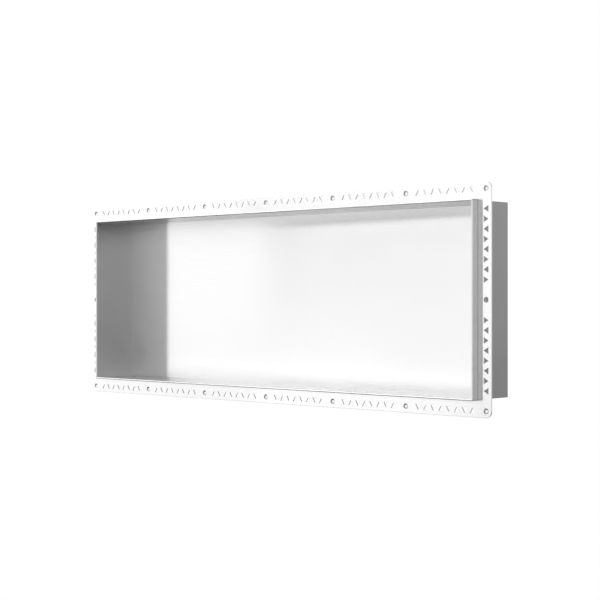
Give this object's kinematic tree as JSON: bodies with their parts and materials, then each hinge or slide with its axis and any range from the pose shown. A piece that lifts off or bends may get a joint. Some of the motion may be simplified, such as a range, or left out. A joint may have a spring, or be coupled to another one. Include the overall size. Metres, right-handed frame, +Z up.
{
  "type": "shower niche insert",
  "caption": "Wide open steel tray that is set into a tiled shower wall as a recessed shelf, with a perforated flange round it that is screwed to the wall and buried in tile adhesive.",
  "frame": {"origin": "centre of the flange's back face, which lies against the wall", "axes": "+X along the niche's width, +Y into the wall, +Z up"},
  "size_m": [0.95, 0.09, 0.35],
  "materials": {
    "brushed_tray": "brushed stainless steel",
    "brushed_flange": "brushed stainless steel"
  },
  "bodies": {
    "root": {"niche_box": "brushed_tray", "wall_flange": "brushed_flange"}
  },
  "joints": []
}
